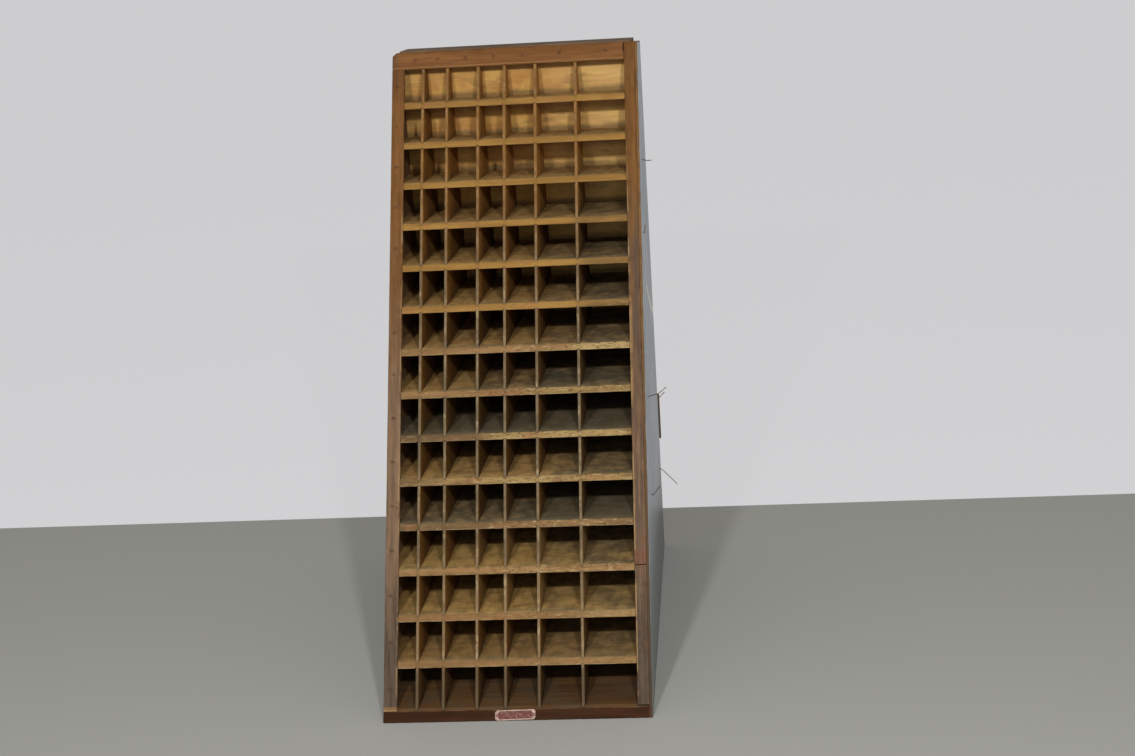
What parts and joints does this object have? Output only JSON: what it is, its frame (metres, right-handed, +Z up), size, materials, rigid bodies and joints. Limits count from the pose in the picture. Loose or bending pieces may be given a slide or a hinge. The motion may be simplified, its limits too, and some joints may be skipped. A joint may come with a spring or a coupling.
{
  "type": "pigeonhole sorting case",
  "caption": "Tall wooden case with a slanted open front of pigeonholes in uneven columns, tipped shelves and thin dividers, wedge-shaped painted sides and nailed trim",
  "frame": {"origin": "on the floor, at the middle of the case's width and depth", "axes": "+Z up, +X to the right seen from the open front, -Y out of the open front"},
  "size_m": [0.5376, 0.846, 1.1406],
  "materials": {
    "painted_side": "worn blue-grey gloss paint",
    "back_pine": "bare pale boards, dusty",
    "shelf_wood": "bare wood, dusty and worn",
    "divider_wood": "bare thin wood, worn pale at the front edges",
    "trim_wood": "old brown stain, satin, worn",
    "dark_trim_wood": "dark red-brown stain, satin",
    "weathered_board": "bare, grey with dust",
    "nail_iron": "dull rusted iron",
    "plate_enamel": "red paint with a bare pale border",
    "plate_pin": "dull bare metal",
    "wire_iron": "dark rusted wire"
  },
  "bodies": {
    "root": {"left_side_panel": "painted_side", "right_side_panel": "painted_side", "bottom_board": "weathered_board", "top_board": "weathered_board", "back_board_1": "back_pine", "back_board_2": "back_pine", "back_board_3": "back_pine", "back_board_4": "back_pine", "back_board_5": "back_pine", "back_board_6": "back_pine", "back_board_7": "back_pine", "shelf_01": "shelf_wood", "shelf_02": "shelf_wood", "shelf_03": "shelf_wood", "shelf_04": "shelf_wood", "shelf_05": "shelf_wood", "shelf_06": "shelf_wood", "shelf_07": "shelf_wood", "shelf_08": "shelf_wood", "shelf_09": "shelf_wood", "shelf_10": "shelf_wood", "shelf_11": "shelf_wood", "shelf_12": "shelf_wood", "shelf_13": "shelf_wood", "shelf_14": "shelf_wood", "row_01_dividers": "divider_wood", "row_02_dividers": "divider_wood", "row_03_dividers": "divider_wood", "row_04_dividers": "divider_wood", "row_05_dividers": "divider_wood", "row_06_dividers": "divider_wood", "row_07_dividers": "divider_wood", "row_08_dividers": "divider_wood", "row_09_dividers": "divider_wood", "row_10_dividers": "divider_wood", "row_11_dividers": "divider_wood", "row_12_dividers": "divider_wood", "row_13_dividers": "divider_wood", "row_14_dividers": "divider_wood", "row_15_dividers": "divider_wood", "left_stile": "trim_wood", "right_stile_upper": "trim_wood", "right_stile_lower": "trim_wood", "top_rail": "trim_wood", "bottom_rail": "dark_trim_wood", "top_rail_nails": "nail_iron", "left_stile_nails": "nail_iron", "back_nails": "nail_iron", "nameplate": "plate_enamel", "nameplate_pins": "plate_pin", "side_wires": "wire_iron", "hanging_rod": "wire_iron"}
  },
  "joints": []
}
